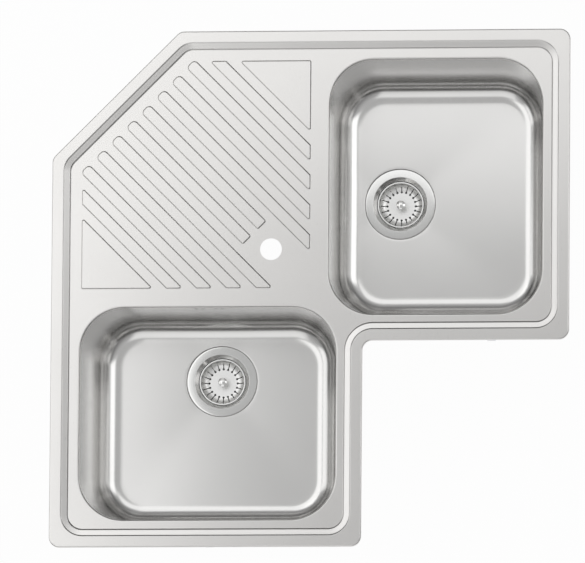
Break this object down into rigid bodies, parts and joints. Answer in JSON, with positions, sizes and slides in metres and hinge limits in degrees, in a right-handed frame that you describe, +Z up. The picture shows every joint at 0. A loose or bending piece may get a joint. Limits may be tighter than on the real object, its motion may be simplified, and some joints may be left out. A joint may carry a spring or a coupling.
{
  "type": "corner kitchen sink",
  "caption": "L-shaped inset corner sink in pressed stainless steel, with two bowls, a ribbed drainer, a tap hole, basket-strainer wastes, an overflow and edge clips.",
  "frame": {"origin": "centre of the tap hole at the deck's top face, which is level with the worktop's top face", "axes": "+X to the right along the back edge of the right arm, +Y to the back, towards the cut-off corner's other edge, +Z up along the tap hole's axis"},
  "size_m": [0.83, 0.83, 0.267],
  "materials": {
    "deck_steel": "fine satin-brushed stainless steel sheet",
    "bowl_steel": "satin drawn stainless steel",
    "strainer_steel": "polished stainless steel",
    "clip_steel": "bright zinc-plated steel",
    "rubber": "black nitrile rubber",
    "seal_foam": "grey closed-cell foam strip",
    "sound_pad": "grey bitumen damping pad",
    "waste_plastic": "white polypropylene"
  },
  "bodies": {
    "root": {"sink_top": "deck_steel", "left_bowl": "bowl_steel", "right_bowl": "bowl_steel", "edge_seal": "seal_foam", "left_sound_pad": "sound_pad", "right_sound_pad": "sound_pad", "overflow_box": "waste_plastic", "overflow_gasket": "rubber", "overflow_studs": "clip_steel", "overflow_nuts": "clip_steel", "overflow_pipe": "waste_plastic", "overflow_unions": "waste_plastic", "clip_rails": "clip_steel", "clip_bolts": "clip_steel", "left_waste_dish": "strainer_steel", "left_waste_seal": "rubber", "left_under_seal": "rubber", "left_waste_housing": "waste_plastic", "left_waste_outlet": "waste_plastic", "left_waste_screw": "strainer_steel", "right_waste_dish": "strainer_steel", "right_waste_seal": "rubber", "right_under_seal": "rubber", "right_waste_housing": "waste_plastic", "right_waste_outlet": "waste_plastic", "right_waste_screw": "strainer_steel"},
    "left_plug_stem": {"left_stem": "strainer_steel", "left_stopper": "rubber", "left_stopper_ring": "clip_steel"},
    "left_strainer": {"left_basket": "strainer_steel", "left_knob": "strainer_steel"},
    "right_plug_stem": {"right_stem": "strainer_steel", "right_stopper": "rubber", "right_stopper_ring": "clip_steel"},
    "right_strainer": {"right_basket": "strainer_steel", "right_knob": "strainer_steel"},
    "clip_nut_1": {"clip_nut_1": "clip_steel"},
    "claw_1": {"claw_1": "clip_steel"},
    "clip_nut_2": {"clip_nut_2": "clip_steel"},
    "claw_2": {"claw_2": "clip_steel"},
    "clip_nut_3": {"clip_nut_3": "clip_steel"},
    "claw_3": {"claw_3": "clip_steel"},
    "clip_nut_4": {"clip_nut_4": "clip_steel"},
    "claw_4": {"claw_4": "clip_steel"},
    "clip_nut_5": {"clip_nut_5": "clip_steel"},
    "claw_5": {"claw_5": "clip_steel"},
    "clip_nut_6": {"clip_nut_6": "clip_steel"},
    "claw_6": {"claw_6": "clip_steel"},
    "clip_nut_7": {"clip_nut_7": "clip_steel"},
    "claw_7": {"claw_7": "clip_steel"},
    "clip_nut_8": {"clip_nut_8": "clip_steel"},
    "claw_8": {"claw_8": "clip_steel"}
  },
  "joints": [
    {"name": "left_plug_lift", "type": "slide", "parent": "root", "child": "left_plug_stem", "axis": [0, 0, 1], "range_m": [0, 0.25]},
    {"name": "left_strainer_turn", "type": "hinge", "parent": "left_plug_stem", "child": "left_strainer", "pos_m": [-0.096, -0.19, -0.205], "axis": [0, 0, 1], "continuous": true},
    {"name": "right_plug_lift", "type": "slide", "parent": "root", "child": "right_plug_stem", "axis": [0, 0, 1], "range_m": [0, 0.25]},
    {"name": "right_strainer_turn", "type": "hinge", "parent": "right_plug_stem", "child": "right_strainer", "pos_m": [0.19, 0.096, -0.205], "axis": [0, 0, 1], "continuous": true},
    {"name": "clip_1_tighten", "type": "slide", "parent": "root", "child": "clip_nut_1", "axis": [0, 0, 1], "range_m": [-0.004, 0.012]},
    {"name": "clip_1_swing", "type": "hinge", "parent": "clip_nut_1", "child": "claw_1", "pos_m": [-0.3166, -0.34975, -0.051], "axis": [0, 0, 1], "range_deg": [0, 90]},
    {"name": "clip_2_tighten", "type": "slide", "parent": "root", "child": "clip_nut_2", "axis": [0, 0, 1], "range_m": [-0.004, 0.012]},
    {"name": "clip_2_swing", "type": "hinge", "parent": "clip_nut_2", "child": "claw_2", "pos_m": [-0.3166, -0.02983, -0.051], "axis": [0, 0, 1], "range_deg": [0, 90]},
    {"name": "clip_3_tighten", "type": "slide", "parent": "root", "child": "clip_nut_3", "axis": [0, 0, 1], "range_m": [-0.004, 0.012]},
    {"name": "clip_3_swing", "type": "hinge", "parent": "clip_nut_3", "child": "claw_3", "pos_m": [0.02983, 0.3166, -0.051], "axis": [0, 0, 1], "range_deg": [0, 90]},
    {"name": "clip_4_tighten", "type": "slide", "parent": "root", "child": "clip_nut_4", "axis": [0, 0, 1], "range_m": [-0.004, 0.012]},
    {"name": "clip_4_swing", "type": "hinge", "parent": "clip_nut_4", "child": "claw_4", "pos_m": [0.34975, 0.3166, -0.051], "axis": [0, 0, 1], "range_deg": [0, 90]},
    {"name": "clip_5_tighten", "type": "slide", "parent": "root", "child": "clip_nut_5", "axis": [0, 0, 1], "range_m": [-0.004, 0.012]},
    {"name": "clip_5_swing", "type": "hinge", "parent": "clip_nut_5", "child": "claw_5", "pos_m": [0.4426, 0.1, -0.051], "axis": [0, 0, 1], "range_deg": [0, 90]},
    {"name": "clip_6_tighten", "type": "slide", "parent": "root", "child": "clip_nut_6", "axis": [0, 0, 1], "range_m": [-0.004, 0.012]},
    {"name": "clip_6_swing", "type": "hinge", "parent": "clip_nut_6", "child": "claw_6", "pos_m": [0.34975, -0.1126, -0.051], "axis": [0, 0, 1], "range_deg": [0, 90]},
    {"name": "clip_7_tighten", "type": "slide", "parent": "root", "child": "clip_nut_7", "axis": [0, 0, 1], "range_m": [-0.004, 0.012]},
    {"name": "clip_7_swing", "type": "hinge", "parent": "clip_nut_7", "child": "claw_7", "pos_m": [0.1126, -0.34975, -0.051], "axis": [0, 0, 1], "range_deg": [0, 90]},
    {"name": "clip_8_tighten", "type": "slide", "parent": "root", "child": "clip_nut_8", "axis": [0, 0, 1], "range_m": [-0.004, 0.012]},
    {"name": "clip_8_swing", "type": "hinge", "parent": "clip_nut_8", "child": "claw_8", "pos_m": [-0.1, -0.4426, -0.051], "axis": [0, 0, 1], "range_deg": [0, 90]}
  ]
}
